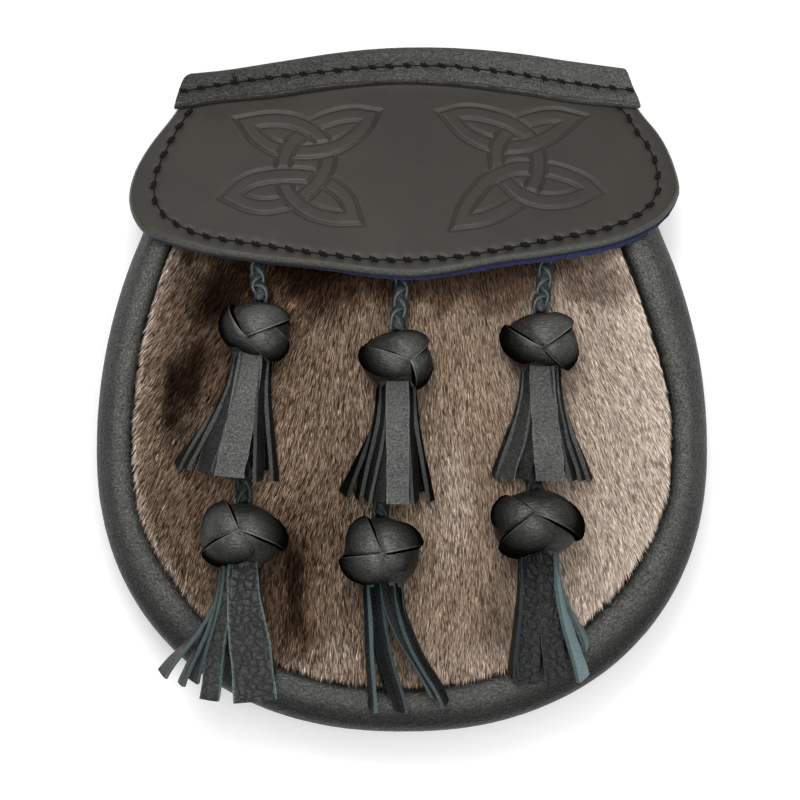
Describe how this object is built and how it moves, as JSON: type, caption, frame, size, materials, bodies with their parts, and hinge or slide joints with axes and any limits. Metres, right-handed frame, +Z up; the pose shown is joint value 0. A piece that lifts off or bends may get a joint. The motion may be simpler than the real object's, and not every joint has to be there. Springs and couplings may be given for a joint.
{
  "type": "sporran pouch",
  "caption": "Rounded kilt pouch that lies on its back: leather gusset, hide front, embossed flap over the mouth, tassels on plaited cords, and strap loops behind.",
  "frame": {"origin": "on the surface it lies on, under the middle of the pouch's box without the tassels", "axes": "+Z up from the surface, out of the hide front; +Y towards the bound top edge; +X to the right seen from the front"},
  "size_m": [0.1896, 0.214, 0.0617],
  "materials": {
    "flap_leather": "smooth satin finished leather, embossed",
    "lining": "matt thin leather",
    "grained_leather": "grained semi-matt leather",
    "hide": "short brown and tan hair on hide",
    "back_leather": "plain matt leather",
    "cord_leather": "plaited leather lace",
    "knot_leather": "smooth satin leather bands, woven",
    "strip_leather": "pebbled leather strips with suede backs"
  },
  "bodies": {
    "root": {"back_panel": "back_leather", "gusset": "grained_leather", "front_panel": "hide", "flap": "flap_leather", "flap_lining": "lining", "top_binding": "grained_leather", "belt_loop_left": "back_leather", "belt_loop_right": "back_leather", "cord_upper_left": "cord_leather", "knot_upper_left": "knot_leather", "skirt_upper_left": "strip_leather", "cord_upper_middle": "cord_leather", "knot_upper_middle": "knot_leather", "skirt_upper_middle": "strip_leather", "cord_upper_right": "cord_leather", "knot_upper_right": "knot_leather", "skirt_upper_right": "strip_leather", "cord_lower_left": "cord_leather", "knot_lower_left": "knot_leather", "skirt_lower_left": "strip_leather", "cord_lower_middle": "cord_leather", "knot_lower_middle": "knot_leather", "skirt_lower_middle": "strip_leather", "cord_lower_right": "cord_leather", "knot_lower_right": "knot_leather", "skirt_lower_right": "strip_leather"}
  },
  "joints": []
}
